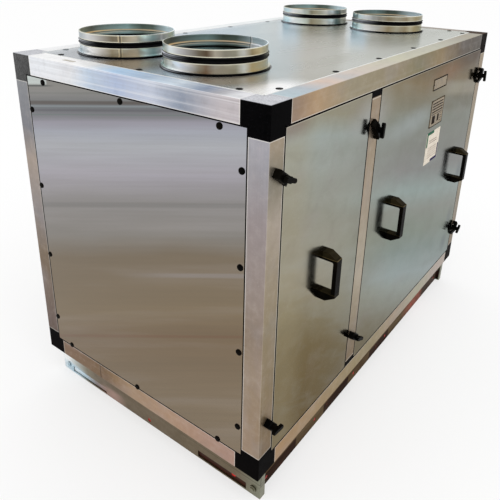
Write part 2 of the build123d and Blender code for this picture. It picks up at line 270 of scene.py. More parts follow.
    def wear(self, pattern, smooth, rough, normal, full=0.7):
        """The finished material, with the tone so far, bumps, and a roughness that goes from smooth to
        rough as a pattern rises to its full value."""
        roughness = self.span(pattern, 0.3, full, smooth, rough)
        for name, value in (("Base Color", self.tone), ("Roughness", roughness), ("Normal", normal)):
            self.set(self.shader, name, value)
        return self.material


def middle_of(name):
    """The middle of a CAD node's box."""
    low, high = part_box(name)
    return (low + high) / 2


def across(axis, fine, long):
    """Factors that draw a pattern out along one axis."""
    return [long if name == axis else fine for name in "XYZ"]


def front_reflection_spot(f, x, z, reach_x, reach_z, color, strength):
    """Lay a soft spot of painted reflection on the front."""
    f.lay(f.glow((x, CASE_FRONT, z), (reach_x, 0.2, reach_z)), color, strength)


def door_sheet():
    """Bright galvanised door sheet. Its streaks of painted reflection fan out from a point far to the left,
    so their tone follows the slope from there, with one set of tones at the left end and one at the right.
    Soft spots of painted reflection and painted highlights along the folded edges lie over them."""
    f = Finish("door_sheet", (140, 142, 136), 1.0, 0.13, edge=0.62)
    x, z = f.along("X"), f.along("Z")
    slope = f.fan("X", "Z", (-2.503, 1.298))
    cloud = f.noise(f.stretched(1.4, 1.4, 3.0), 1.7, 4, 0.55, 0.3)
    level = f.plus(slope, f.sway(cloud, 0.02))
    # The tones along the fan, at the left end and at the right, are painted reflections.
    left_tones = f.tones(
        level,
        (-0.56, 110, 90, 48), (-0.46, 120, 102, 64), (-0.40, 143, 132, 104), (-0.36, 162, 156, 139),
        (-0.28, 154, 153, 140), (-0.19, 161, 169, 163), (-0.165, 153, 148, 128),
    )
    right_tones = f.tones(
        level,
        (-0.48, 120, 113, 88), (-0.45, 134, 129, 108), (-0.405, 166, 175, 168), (-0.385, 167, 181, 181),
        (-0.355, 139, 155, 149), (-0.325, 138, 149, 135), (-0.295, 149, 154, 145), (-0.27, 160, 176, 172),
        (-0.24, 142, 143, 140), (-0.18, 138, 142, 130), (-0.138, 138, 120, 88), (-0.115, 108, 90, 58),
    )
    f.tone = f.mix(f.span(x, -0.55, 0.12, smooth=True), left_tones, right_tones)
    # A light streak of painted reflection on the right door.
    streak = f.times(f.line(slope, -0.1475, 0.011), f.span(x, 0.12, 0.42, smooth=True))
    f.lay(streak, (166, 160, 140), 0.8)
    # A warm painted reflection at the far left.
    f.lay(f.span(x, -0.49, -0.60, 0.0, 0.4, smooth=True), (162, 150, 120))
    # Soft spots of painted reflection along the top, and a bluish painted highlight by the mullion.
    front_reflection_spot(f, CASE_LEFT + 0.08, CASE_TOP - 0.06, 0.10, 0.04, (116, 90, 88), 0.5)
    front_reflection_spot(f, 0.33, CASE_TOP - 0.085, 0.24, 0.05, (146, 102, 64), 0.6)
    front_reflection_spot(f, CASE_RIGHT - 0.13, CASE_TOP - 0.06, 0.26, 0.065, (76, 50, 28), 0.8)
    front_reflection_spot(f, 0.02, CASE_TOP - 0.197, 0.30, 0.055, (166, 174, 172), 0.8)
    # A darker line of painted reflection under the light streak.
    under = f.times(f.line(slope, -0.163, 0.012), f.span(x, 0.2, 0.36, smooth=True))
    f.lay(under, (106, 106, 90), 0.4)
    # Painted reflections of the clamps and the handle on the right door.
    for x_clamp_reflection, down in ((0.578, 0.70), (0.556, 0.80), (0.600, 0.515)):
        front_reflection_spot(f, x_clamp_reflection, CASE_TOP - down, 0.05, 0.06, (92, 104, 114), 0.5)
    # A light spot of painted reflection on the left door.
    front_reflection_spot(f, -0.24, CASE_TOP - 0.115, 0.16, 0.10, (176, 176, 174), 0.6)
    soft = f.noise(f.joined(f.times(slope, 26.0), f.times(x, 2.2)), 1.0, 4, 0.6, 0.4)
    f.fleck(soft, 0.5, 0.72, 0.15, (180, 188, 188))
    f.fleck(soft, 0.5, 0.28, 0.12, (112, 106, 86))
    blotch = f.cloud((9, 9, 12), 3, 0.6)
    f.fleck(blotch, 0.52, 0.75, 0.12, (160, 146, 150))
    patch = f.cloud((16, 16, 18), 4, 0.6, 0.4)
    f.fleck(patch, 0.5, 0.74, 0.10, (176, 180, 172))
    f.fleck(patch, 0.5, 0.28, 0.12, (104, 100, 82))
    speck = f.noise(f.place, 150.0, 3, 0.7)
    f.fleck(speck, 0.58, 0.74, 0.12, (206, 206, 196))
    # Painted highlights along the folded edges of the doors.
    folds = [f.line(x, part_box(name)[0].x + 0.0027, 0.0012) for name in ("door_left", "door_right")]
    folds.append(f.line(z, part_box("door_left")[1].z - 0.0027, 0.0012))
    f.lay(f.most(*folds), (206, 202, 188), 0.4)
    grain = f.cloud((30, 30, 700), 3, 0.6)
    f.fleck(grain, 0.35, 0.7, 0.06, (104, 104, 94))
    gloss = f.cloud((6, 6, 9), 5, 0.65, 0.8)
    swell = f.noise(f.place, 4.0, 1)
    return f.wear(gloss, 0.1, 0.2, f.bump(grain, 0.00002, f.bump(swell, 0.0012)), 0.75)


def left_sheet():
    """Galvanised sheet of the left side. Its streaks of painted reflection fan out from a point far in front
    of the unit, and a few of them are thin and crisp. A pale patch on it is a painted highlight."""
    f = Finish("left_sheet", (150, 146, 145), 1.0, 0.22, edge=0.84)
    slope = f.fan("Y", "Z", (-2.03, 1.30))
    drift = f.cloud((0, 2.2, 2.2), 2)
    level = f.plus(slope, f.times(f.sway(drift, 0.03), f.span(slope, -0.19, -0.30)))
    # The tones along the fan are painted reflections: browner low down, lilac grey higher up.
    f.tone = f.tones(
        level,
        (-0.58, 135, 120, 100), (-0.47, 126, 109, 89), (-0.44, 133, 118, 97), (-0.36, 126, 114, 98),
        (-0.33, 138, 134, 129), (-0.285, 146, 143, 142), (-0.25, 167, 164, 171), (-0.215, 174, 176, 181),
        (-0.20, 168, 171, 180), (-0.188, 157, 155, 165), (-0.182, 134, 134, 139), (-0.172, 116, 119, 123),
        (-0.149, 142, 140, 136),
    )
    # A pale painted highlight, with a dark line of painted reflection under it.
    patch = f.times(f.span(slope, -0.1470, -0.1450), f.span(f.along("Y"), 0.290, 0.296))
    f.lay(patch, (200, 207, 204))
    under = f.times(f.line(slope, -0.1475, 0.0012), f.span(f.along("Y"), 0.26, 0.30))
    f.lay(under, (92, 96, 96), 0.9)
    # Thin crisp lines of painted reflection.
    crisp = (
        (-0.1555, 0.0016, 0.5, 120, 122, 117), (-0.1660, 0.0028, 0.9, 98, 93, 90),
        (-0.1700, 0.0014, 0.8, 138, 146, 150), (-0.1745, 0.0018, 0.7, 104, 104, 110),
        (-0.1795, 0.0008, 0.6, 112, 126, 122), (-0.2880, 0.0045, 0.6, 126, 124, 122),
        (-0.4740, 0.0030, 0.6, 124, 98, 80),
    )
    for at, half_width, strength, *color in crisp:
        f.lay(f.line(slope, at, half_width), color, strength)
    # A pale line of painted reflection.
    pale = f.times(f.line(slope, -0.383, 0.0045), f.span(f.along("Y"), 0.12, -0.2, smooth=True))
    f.lay(pale, (148, 142, 140), 0.5)
    broad = f.noise(f.joined(f.times(slope, 30.0), f.along("Y")), 1.0, 3, 0.55)
    f.fleck(broad, 0.5, 0.68, 0.10, (190, 184, 184))
    f.fleck(broad, 0.5, 0.32, 0.10, (84, 76, 62))
    fine = f.noise(f.joined(f.times(slope, 190.0), f.times(f.along("Y"), 1.6)), 1.0, 3, 0.6)
    f.fleck(fine, 0.34, 0.7, 0.12, (100, 92, 80))
    swell = f.noise(f.stretched(1, 1, 2), 3.0, 1)
    return f.wear(broad, 0.17, 0.27, f.bump(fine, 0.00003, f.bump(swell, 0.001)))


def side_sheet():
    """Galvanised sheet of the sides away from the camera, with level streaks and tones of painted
    reflection, browner low down and lilac grey high up.
    """
    f = Finish("side_sheet", (150, 146, 140), 1.0, 0.22)
    level = f.plus(f.along("Z"), f.sway(f.cloud((1.2, 1.2, 2.5), 3), 0.2))
    # Tones up the sheet, a painted reflection like the left side's.
    f.tone = f.tones(
        level,
        (CASE_BOTTOM, 128, 113, 92), (CASE_BOTTOM + 0.32, 136, 128, 112),
        (CASE_BOTTOM + 0.55, 150, 147, 145), (CASE_BOTTOM + 0.75, 168, 166, 171),
        (CASE_TOP, 150, 148, 138),
    )
    broad = f.cloud((0.7, 0.7, 16), 3, 0.6)
    f.fleck(broad, 0.35, 0.68, 0.3, (186, 182, 176))
    fine = f.cloud((1.2, 1.2, 120), 3, 0.6)
    f.fleck(fine, 0.35, 0.7, 0.22, (100, 92, 80))
    swell = f.noise(f.stretched(1, 1, 2), 3.0, 1)
    return f.wear(broad, 0.18, 0.28, f.bump(fine, 0.00003, f.bump(swell, 0.001)))


def roof_sheet():
    """Light galvanised roof sheet. Its warm and blue streaks of painted reflection fan out from the left
    front, below the camera, and the sheet is bluish towards the back as a painted haze. A painted highlight
    lies at the left front with olive painted reflections behind it, painted shadow rings lie round the
    spigots, and the sheet is brushed along its length."""
    f = Finish("roof_sheet", (188, 190, 184), 0.6, 0.24, 0.25, edge=0.8)
    x, y = f.along("X"), f.along("Y")
    slope = f.fan("X", "Y", (-1.496, -0.936))
    cloud = f.noise(f.stretched(1.0, 2.2, 1), 2.2, 4, 0.55, 0.5)
    level = f.plus(slope, f.sway(cloud, 0.05))
    # The tones along the fan are painted reflections.
    f.tone = f.tones(
        level,
        (0.30, 172, 177, 166), (0.50, 184, 187, 180), (0.53, 166, 166, 154), (0.60, 170, 168, 157),
        (0.64, 172, 181, 182), (0.70, 174, 190, 194), (0.83, 160, 184, 202), (1.20, 162, 168, 176),
    )
    # Two blue streaks of painted reflection.
    for at, half_width, start, end in ((0.642, 0.034, -0.20, 0.16), (0.487, 0.028, -0.12, 0.20)):
        blue = f.times(f.line(slope, at, half_width), f.span(x, start, end, smooth=True))
        f.lay(blue, (182, 207, 222), 0.8)
    # A bluish painted haze towards the back.
    haze = f.span(y, CASE_BACK - 0.11, CASE_BACK - 0.04, smooth=True)
    f.lay(haze, (236, 242, 244), 0.45)
    # A painted highlight near the left front.
    shine = f.glow((CASE_LEFT + 0.08, CASE_FRONT + 0.07, CASE_TOP), (0.17, 0.095, 0.1))
    f.lay(f.span(shine, 0.0, 0.6), (254, 254, 254))
    # Olive patches of painted reflection.
    for right, back in ((0.12, 0.20), (0.09, 0.48)):
        olive = f.glow((CASE_LEFT + right, CASE_FRONT + back, CASE_TOP), (0.14, 0.13, 0.1))
        f.fleck(olive, 0.0, 0.7, 0.7, (158, 132, 92))
    # Dark rings round the spigots' feet: painted contact shadow.
    contact_shadow_rings = [f.line(f.from_axis(middle), 0.1305, 0.0042) for middle in map(middle_of, SPIGOTS)]
    f.lay(f.most(*contact_shadow_rings), (18, 16, 14))
    brushed = f.cloud((7, 420, 1), 3, 0.65)
    f.fleck(brushed, 0.32, 0.7, 0.16, (150, 150, 140))
    scratch = f.cloud((14, 1100, 1), 2, 0.7)
    f.fleck(scratch, 0.62, 0.72, 0.35, (226, 228, 224))
    normal = f.bump(brushed, 0.00003, f.bump(f.noise(f.place, 5.0, 1), 0.001))
    return f.wear(cloud, 0.2, 0.3, normal)


def aluminium(name, axis, tones, face=None, metallic=0.85, drawn=0.05):
    """Raw extruded aluminium, satin, with soft blotches, faint die lines along its run and painted
    highlights along its edges beside the panels and along its outer edges. The tones follow the run and are
    painted reflections, and one face may have its own, painted lighter or darker: its axis, level, inward
    sign and tones."""
    f = Finish(name, tones[0][1:], metallic, 0.4, edge=0.75)
    blotch = f.cloud(across(axis, 11, 6), 3, 0.5, 0.3)
    run = f.plus(f.along(axis), f.sway(blotch, 0.07))
    f.tone = f.tones(run, *tones)
    # One face's own tones: that face painted lighter or darker.
    if face:
        face_axis, level, inward, face_tones = face
        f.lay(f.face(face_axis, level, inward), f.tones(run, *face_tones))
    f.fleck(blotch, 0.5, 0.72, 0.16, (214, 200, 204))
    rough = f.noise(f.place, 42.0, 4, 0.65)
    f.fleck(rough, 0.5, 0.7, 0.14, (206, 196, 186))
    f.fleck(rough, 0.5, 0.3, 0.12, (110, 100, 88))
    cool = f.cloud(across(axis, 15, 8), 3, 0.5, 0.4)
    f.fleck(cool, 0.52, 0.74, 0.16, (150, 154, 166))
    # The die lines and bright streaks grow with drawn, and so do the painted highlights on the outer edges.
    die = f.cloud(across(axis, 330, 1.0), 2, 0.5)
    f.fleck(die, 0.36, 0.7, drawn, (92, 88, 84))
    band = f.cloud(across(axis, 150, 2.0), 2, 0.5)
    f.fleck(band, 0.55, 0.7, drawn * drawn * 12, (250, 250, 252))
    pit = f.noise(f.place, 260.0, 3, 0.7)
    f.fleck(pit, 0.6, 0.75, 0.14, (236, 232, 226))
    middles = {"X": 0.0, "Y": CASE_MIDDLE, "Z": (CASE_TOP + CASE_BOTTOM) / 2}
    reaches = {"X": CASE_RIGHT, "Y": CASE_BACK - CASE_MIDDLE, "Z": (CASE_TOP - CASE_BOTTOM) / 2}
    # Painted highlights along the edges beside the panels and along the outer edges.
    edges, outer = [], []
    for side in "XYZ":
        off = f.math("ABSOLUTE", f.math("SUBTRACT", f.along(side), middles[side]))
        inner = reaches[side] - (CORNER_REACH if side == axis else FRAME_WIDTH)
        edges.append(f.line(off, inner + (-0.0011 if side == axis else 0.0009), 0.0011))
        if side != axis:
            outer.append(f.line(off, reaches[side], 0.0016))
    edges.append(f.times(*outer, drawn * 4))
    f.lay(f.most(*edges), (244, 240, 232), 0.55)
    return f.wear(blotch, 0.34, 0.5, f.bump(die, 0.00002))


def spigot_looks():
    """For each of SPIGOTS: its turn and the place of its lap in degrees, the painted light inside, its outer
    tones of painted reflection by angle with 0 at its near side, and how much painted light its upper band
    has against the lower one."""
    # The near white stops are painted highlights.
    return (
        (0, 3.0, 2.3, (
            (-72, 176, 202, 214), (-40, 254, 254, 254), (-6, 146, 134, 110),
            (22, 196, 186, 164), (32, 240, 252, 250), (42, 196, 230, 230), (54, 254, 254, 254),
            (74, 188, 190, 160), (98, 216, 228, 212),
        ), ((-60, 0.58), (-30, 0.72), (0, 0.56), (12, 0.84), (36, 1.15), (58, 0.36), (74, 0.9))),
        (2, 136.2, 1.5, (
            (-98, 204, 244, 240), (-40, 254, 254, 254), (-16, 148, 136, 116),
            (-8, 132, 108, 84), (1, 174, 166, 150), (22, 162, 158, 138), (32, 222, 222, 214),
            (42, 194, 174, 130), (98, 184, 194, 178),
        ), (
            (-68, 1.1), (-52, 0.85), (-40, 0.52), (-16, 0.48), (-8, 0.40), (1, 0.92), (11, 0.62),
            (26, 0.80), (42, 0.50), (56, 1.1), (74, 0.88),
        )),
        (-6, None, 2.3, (
            (-56, 212, 240, 248), (-42, 254, 254, 254), (-16, 226, 230, 216),
            (-6, 166, 156, 130), (10, 182, 180, 162), (32, 252, 254, 254), (42, 148, 174, 172),
            (56, 166, 168, 156), (74, 122, 122, 102), (98, 156, 162, 144),
        ), ((-60, 0.8), (-30, 0.75), (-14, 1.0), (10, 0.9), (40, 1.0), (58, 0.5), (98, 0.7))),
        (-4, None, 1.6, (
            (-98, 210, 244, 254), (-62, 224, 250, 254), (-44, 254, 254, 254),
            (-6, 162, 146, 116), (8, 180, 174, 154), (22, 164, 148, 120), (32, 204, 196, 170),
            (42, 182, 166, 128), (74, 168, 172, 144), (98, 216, 226, 204),
        ), ((-60, 0.7), (60, 0.7))),
    )


def zinc_inside(f, z, far, away, light, lap):
    """A spigot's inside: tones of painted reflection by angle from 0 at the far side, times its painted
    light, with painted highlight rings on the groove, a painted glare at its left and a dark ring of painted
    shade below it, and the lap where it lies at that side, drawn as a line of painted shade and a painted
    highlight."""
    tones = (
        (-100, 196, 212, 222), (-50, 168, 184, 190), (-24, 76, 88, 82), (-8, 66, 76, 70),
        (12, 104, 124, 122), (64, 76, 78, 70), (100, 120, 122, 106),
    )
    bright = (
        (-60, 238, 244, 250), (-44, 226, 216, 196), (-20, 214, 194, 164), (20, 192, 178, 150),
        (60, 222, 194, 150),
    )
    # The inside's tones of painted reflection, times its painted light.
    f.tone = f.lit(f.tones(far, *tones), light)
    # Light and dark lines of painted reflection and painted highlight rings about the groove.
    f.lay(f.line(z, GROOVE_HIGH - 0.0050, 0.0030), (150, 168, 168), 0.5)
    f.lay(f.line(z, GROOVE_HIGH + 0.0012, 0.0022), f.tones(far, *bright))
    f.lay(f.line(z, GROOVE_HIGH - 0.0016, 0.0012), (74, 64, 56), 0.6)
    sides = f.span(f.math("ABSOLUTE", far), 8, 34, 0.1, 0.85)
    f.lay(f.times(f.line(z, GROOVE_HIGH - 0.0044, 0.0016), sides), (216, 206, 182))
    above = f.span(z, GROOVE_LOW, GROOVE_LOW + 0.002)
    below = f.span(z, GROOVE_HIGH + 0.001, GROOVE_HIGH + 0.003, 0.9, 0.0)
    # A painted glare at the left of the groove.
    f.lay(f.times(f.line(far, -62, 22), above, below), (244, 248, 254))
    # A dark ring of painted shade below the groove.
    f.lay(f.line(z, GROOVE_LOW + 0.0012, 0.0044), (4, 8, 7))
    # The lap's edge: a line of painted shade and a painted highlight.
    if lap and lap > 90:
        f.lay(f.line(away, lap - 180, 0.8), (40, 48, 50), 0.85)
        f.lay(f.line(away, lap - 181.8, 1.2), (250, 250, 250), 0.85)
    return f.tone


def zinc_outside(f, z, angle, near, tones, upper, fine, lap):
    """A spigot's outside: its tones of painted reflection by angle, the upper band lighter or darker than
    the lower one as painted light, with painted highlights along the folds, and the lap where it lies at the
    near side, drawn as painted highlights either side of a line of painted shade."""
    hidden = (132, 134, 130)
    # Tones of painted reflection by angle, plain where hidden.
    f.tone = f.tones(angle, (-130, *hidden), *tones, (130, *hidden))
    # The upper band's painted light.
    f.lay(f.span(z, GROOVE_LOW, GROOVE_HIGH), f.lit(f.tone, f.tones(angle, *upper)))
    f.fleck(fine, 0.35, 0.7, 0.12, (70, 74, 66))
    # Painted highlights along the rim and the groove's folds.
    for level in (RIM_TOP - 0.0009, GROOVE_HIGH + 0.0009, GROOVE_LOW - 0.0009):
        f.lay(f.line(z, level, 0.0014), (238, 234, 212), 0.75)
    # The lap's edges: painted highlights either side of a line of painted shade.
    if lap and lap < 90:
        f.lay(f.line(near, lap - 1.4, 0.9), (232, 214, 176), 0.6)
        f.lay(f.line(near, lap + 0.6, 0.8), (64, 54, 38), 0.8)
        f.lay(f.line(near, lap + 2.2, 0.8), (220, 206, 168), 0.4)
    return f.tone


def zinc_spigot(name, turn, lap, light, tones, upper):
    """Shiny zinc on a rolled spigot. Its upright bands of warm and cool tone are painted reflections that
    follow the angle round the spigot's own axis, in degrees, from the near side outside and from the far
    side inside."""
    low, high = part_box(name)
    centre = middle_of(name)
    f = Finish(name + "_zinc", (160, 162, 148), 0.65, 0.15, 0.3, edge=0.8)
    facing = radians(NEAR_SIDE + turn)
    ahead = f.towards((cos(facing), sin(facing), 0), centre)
    aside = f.towards((-sin(facing), cos(facing), 0), centre)
    near = f.times(f.math("ARCTAN2", aside, ahead), 180 / pi)
    away = f.times(f.math("ARCTAN2", f.times(aside, -1.0), f.times(ahead, -1.0)), 180 / pi)
    ripple = f.sway(f.cloud((20, 20, 46), 3, 0.55, 0.5), 5.0)
    fine = f.cloud((30, 30, 340), 3, 0.6)
    z = f.along("Z")
    inner = zinc_inside(f, z, f.plus(ripple, away), away, light, lap)
    outer = zinc_outside(f, z, f.plus(ripple, near), near, tones, upper, fine, lap)
    widest = (high.x - low.x) / 2
    wall = widest - 0.0054
    outside = f.span(f.from_axis(centre), wall - 0.0009, wall - 0.0003)
    f.set(f.shader, "Metallic", f.span(outside, 0.0, 1.0, 0.3, 0.65))
    f.tone = f.mix(outside, inner, outer)
    return f.wear(fine, 0.12, 0.2, f.bump(f.noise(f.place, 26.0, 2), 0.0004))


def base_steel():
    """Dull hot-dipped steel of the side members with spangle and soil. Its tones along the run turn pale
    towards the back as painted light, with a bluish painted haze and a pinkish painted reflection low at
    the back left, and two fine ridges are drawn as lines of painted shade."""
    f = Finish("base_steel", (108, 92, 72), 0.9, 0.4)
    y, z = f.along("Y"), f.along("Z")
    cloud = f.cloud((3, 3, 3), 3)
    left = f.span(f.along("X"), -0.654, -0.657)
    run = f.plus(y, f.sway(cloud, 0.06))
    plain = f.tones(
        run, (CASE_FRONT + 0.02, 128, 128, 110), (CASE_FRONT + 0.10, 110, 97, 76), (CASE_BACK, 118, 110, 92)
    )
    # Tones along the run, pale towards the back as painted light.
    f.tone = f.tones(
        run,
        (CASE_FRONT + 0.02, 128, 128, 110), (CASE_FRONT + 0.10, 112, 98, 76),
        (CASE_FRONT + 0.50, 106, 91, 71), (CASE_BACK - 0.20, 114, 99, 82),
        (CASE_BACK - 0.13, 132, 124, 106), (CASE_BACK - 0.07, 188, 192, 188),
        (CASE_BACK - 0.03, 246, 248, 248),
    )
    f.tone = f.mix(left, plain, f.tone)
    spangle = f.cells(f.place, 110.0)
    f.fleck(spangle, 0.0, 1.0, 0.10, (158, 150, 128))
    low = f.span(f.plus(z, f.times(cloud, -0.01)), 0.034, 0.022)
    # A bluish painted haze low at the back left.
    haze = f.glow((CASE_LEFT + 0.03, CASE_BACK - 0.06, 0.014), (0.1, 0.085, 0.05))
    f.lay(f.times(low, left, haze), (190, 214, 226))
    # A pinkish painted reflection low down.
    pink = f.glow((CASE_LEFT + 0.03, CASE_BACK - 0.25, 0.014), (0.1, 0.07, 0.05))
    f.lay(f.times(low, pink), (168, 138, 126))
    # Two fine ridges drawn as lines of painted shade, stronger towards the front.
    ridges = f.most(f.line(z, 0.0490, 0.0012), f.line(z, 0.0405, 0.0016))
    ridges = f.times(ridges, f.span(y, 0.10, -0.25, 0.1, 0.75))
    f.lay(ridges, (62, 56, 42))
    soil = f.cloud((7, 7, 14), 5, 0.65, 0.5)
    f.fleck(soil, 0.52, 0.75, 0.25, (84, 72, 52))
    return f.wear(soil, 0.3, 0.5, f.bump(spangle, 0.00003))


def dark_steel():
    """The cross members: steel darkened to brown as painted shade, with darker boxed patches of painted
    shade for the shade in the web's slots, and rust showing through.
    """
    f = Finish("dark_steel", (88, 70, 48), 0.15, 0.5, 0.02, edge=0.3)
    x, z = f.along("X"), f.along("Z")
    patch = f.cloud((4.5, 4.5, 16), 4, 0.6, 0.6)
    # Brown tones, darkened as painted shade.
    f.tone = f.ramp(patch, (0.34, 76, 58, 38), (0.66, 100, 84, 60))
    f.lay(f.span(x, 0.26, 0.36), f.ramp(patch, (0.4, 74, 52, 40), (0.55, 140, 84, 70)))
    f.lay(f.span(x, 0.45, 0.48), f.ramp(patch, (0.4, 50, 36, 28), (0.6, 74, 60, 50)))
    # Boxed patches of painted shade, in a row, for the shade in the web's slots.
    wave = f.math("COSINE", f.times(f.plus(x, 0.545), 2 * pi / 0.308))
    painted_slot_shade = f.times(f.span(wave, -0.08, 0.04), f.span(x, 0.17, 0.19, 1.0, 0.0))
    painted_slot_shade = f.times(painted_slot_shade, f.span(z, 0.034, 0.036, 1.0, 0.0))
    f.lay(painted_slot_shade, f.ramp(patch, (0.3, 36, 16, 6), (0.7, 52, 30, 16)), 0.95)
    rust = f.cloud((9, 9, 22), 5, 0.7, 0.8)
    f.fleck(rust, 0.6, 0.74, 0.6, (112, 44, 28))
    return f.wear(patch, 0.56, 0.44, f.bump(rust, 0.0003))


def black_plastic():
    """Satin black moulded plastic with a fine grain and browner worn places, with a brown painted reflection
    on the handles' shoulders and a painted highlight line where their bevel begins."""
    f = Finish("black_plastic", (10, 10, 11), 0.0, 0.4, 0.015)
    grain = f.noise(f.place, 900.0, 2)
    rub = f.noise(f.place, 38.0, 4, 0.6)
    f.tone = f.ramp(rub, (0.35, 2, 2, 1), (0.75, 18, 15, 10))
    low, high = [corner.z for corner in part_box("handle_left")]
    up = f.along("Z")
    # A brown painted reflection on the handles' shoulders.
    shoulders = f.most(f.line(up, high - 0.006, 0.0115), f.line(up, low + 0.022, 0.0016))
    f.lay(f.times(shoulders, f.span(rub, 0.35, 0.6, 0.5, 0.9)), (44, 38, 23))
    # A painted highlight line where the bevel begins.
    f.lay(f.line(up, high - 0.0150, 0.0010), (88, 76, 50))
    return f.wear(rub, 0.32, 0.48, f.bump(grain, 0.00012))


def corner_plastic():
    """The corner pieces' plastic: a coarse mould grain, brownish low down and at the right, worn grey at the
    back left and pale on the roof side with a dusting and a painted sheen, darker at the right."""
    f = Finish("corner_plastic", (8, 8, 9), 0.0, 0.5, 0.008)
    coarse = f.noise(f.place, 330.0, 3, 0.65)
    fine = f.noise(f.place, 1100.0, 2)
    grain = f.plus(coarse, f.times(fine, 0.25))
    rub = f.cloud((34, 34, 60), 4, 0.65)
    f.tone = f.ramp(rub, (0.35, 0, 0, 1), (0.72, 7, 6, 7))
    f.fleck(coarse, 0.56, 0.72, 0.5, (26, 25, 29))
    low = f.span(f.along("Z"), CASE_BOTTOM + 0.12, CASE_BOTTOM)
    f.lay(low, (8, 3, 0), 0.6)
    right = f.span(f.along("X"), 0.3, 0.5)
    f.lay(right, (16, 8, 3), 0.8)
    away = f.times(f.span(f.along("Y"), 0.1, CASE_BACK), f.span(f.along("Z"), 0.5, CASE_TOP))
    away = f.times(away, f.span(f.along("X"), CASE_RIGHT, CASE_LEFT, 0.3, 1.0))
    worn = f.ramp(coarse, (0.35, 70, 70, 70), (0.65, 112, 112, 112))
    f.lay(away, worn, 0.9)
    # Pale on the roof side: a dusting and a painted sheen, dark brown at the right.
    top = f.span(f.along("Z"), CASE_TOP - 0.0012, CASE_TOP - 0.0002)
    top_dust_and_sheen = f.times(top, f.span(rub, 0.25, 0.6, 0.8, 1.0))
    dust_and_sheen_tones = f.ramp(coarse, (0.35, 172, 172, 178), (0.65, 206, 208, 212))
    f.lay(top_dust_and_sheen, f.mix(right, dust_and_sheen_tones, (70, 56, 46)))
    return f.wear(rub, 0.42, 0.56, f.bump(grain, 0.0002))


def seal_rubber():
    """Rubber of the spigots' seals and gaskets, black with a dull sheen at the left and the right of
    each spigot."""
    f = Finish("seal_rubber", (6, 6, 7), 0.0, 0.5, 0.03)
    rub = f.cloud((40, 40, 240), 3)
    f.tone = f.ramp(rub, (0.3, 2, 2, 3), (0.7, 12, 12, 13))
    z = f.along("Z")
    lips = f.most(*[f.line(z, RIM_TOP - down, 0.0012) for down in (0.0200, 0.0238, 0.0288, 0.0545)])
    for degrees, reach, color in ((150, 0.095, (206, 209, 216)), (302, 0.06, (140, 142, 128))):
        away = Vector((cos(radians(degrees)), sin(radians(degrees)), 0)) * 0.127
        sheens = [f.glow(middle + away, (reach, reach, 0.2)) for middle in map(middle_of, SPIGOTS)]
        sheen = f.times(f.most(*sheens), f.span(lips, 0.0, 1.0, 0.15, 1.0))
        f.lay(f.times(sheen, f.span(rub, 0.3, 0.6, 0.6, 1.0)), color)
    return f.wear(rub, 0.4, 0.6, f.bump(rub, 0.0002))


def black_rubber():
    """Matt black rubber of the gap seals."""
    f = Finish("black_rubber", (6, 6, 7), 0.0, 0.5, 0.008)
    rub = f.noise(f.place, 60.0, 3)
    f.tone = f.ramp(rub, (0.3, 3, 3, 4), (0.7, 12, 12, 13))
    return f.wear(rub, 0.4, 0.6, f.bump(rub, 0.0003))


def plate_finish(name, color, worn, roughness=0.4, gloss=0.3):
    """A plain plate or label with a faint unevenness."""
    f = Finish(name, color, 0.0, roughness, gloss)
    patch = f.cloud((60, 60, 90), 4, 0.6)
    f.tone = f.ramp(patch, (0.35, *worn), (0.65, *color))
    return f.wear(patch, roughness, roughness + 0.1, f.bump(patch, 0.00005))


